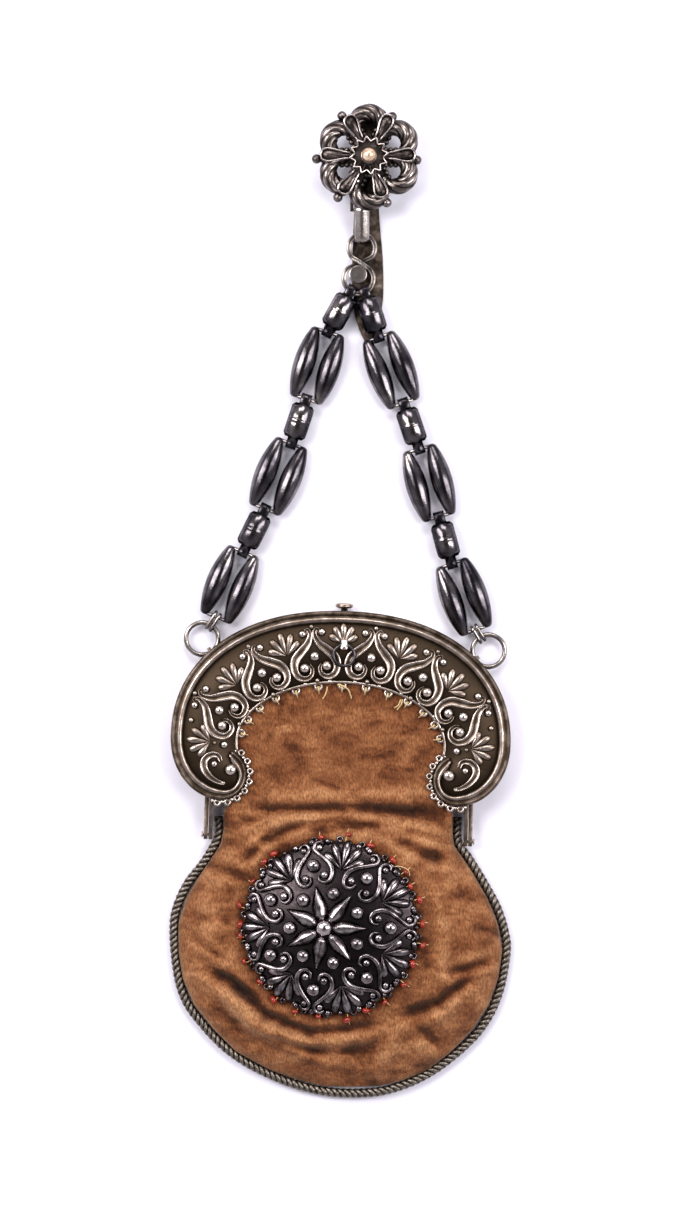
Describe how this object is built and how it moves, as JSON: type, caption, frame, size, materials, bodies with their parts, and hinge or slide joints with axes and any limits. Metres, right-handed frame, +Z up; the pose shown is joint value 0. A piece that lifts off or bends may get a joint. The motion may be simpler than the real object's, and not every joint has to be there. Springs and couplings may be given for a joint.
{
  "type": "chatelaine purse",
  "caption": "Chatelaine purse lying flat: rosette belt hook, two strands of paired spindle links, cast silver snap frame and a round velvet bag with a cord edge and a domed medallion.",
  "frame": {"origin": "on the table, under the middle of the whole purse's box", "axes": "+Y from the bag towards the brooch, +X to the right of the purse's front, +Z up out of its front"},
  "size_m": [0.1138, 0.3312, 0.0194],
  "materials": {
    "silver": "worn polished silver, dark in the hollows",
    "dark_silver": "polished oxidised silver",
    "gilt": "polished gilt ball",
    "velvet": "golden brown velvet",
    "cord_metal": "twisted metal thread cord"
  },
  "bodies": {
    "purse": {"frame_front": "silver", "frame_back": "silver", "hinge_pin_left": "silver", "hinge_pin_right": "silver", "ring_left": "silver", "ring_right": "silver", "jump_ring_left_a": "silver", "jump_ring_left_b": "silver", "jump_ring_right_a": "silver", "jump_ring_right_b": "silver", "eight_link": "silver", "brooch_bail": "silver", "pull_ring": "dark_silver", "medallion": "dark_silver", "strap_link_left_1": "dark_silver", "spindle_link_left_1": "dark_silver", "strap_link_left_2": "dark_silver", "spindle_link_left_2": "dark_silver", "strap_link_left_3": "dark_silver", "spindle_link_left_3": "dark_silver", "strap_link_right_1": "dark_silver", "spindle_link_right_1": "dark_silver", "strap_link_right_2": "dark_silver", "spindle_link_right_2": "dark_silver", "strap_link_right_3": "dark_silver", "spindle_link_right_3": "dark_silver", "belt_hook": "dark_silver", "brooch_rosette": "dark_silver", "brooch_petals": "dark_silver", "brooch_calyx": "dark_silver", "brooch_bead": "gilt", "velvet_bag": "velvet", "edge_cord": "cord_metal"},
    "clasp_button": {"clasp_button": "silver"}
  },
  "joints": [
    {"name": "clasp_button_press", "type": "slide", "parent": "purse", "child": "clasp_button", "axis": [-0.0279, -0.9996, 0], "range_m": [0, 0.0005], "stiffness_N_per_m": 3000, "springref_m": -0.0003}
  ]
}
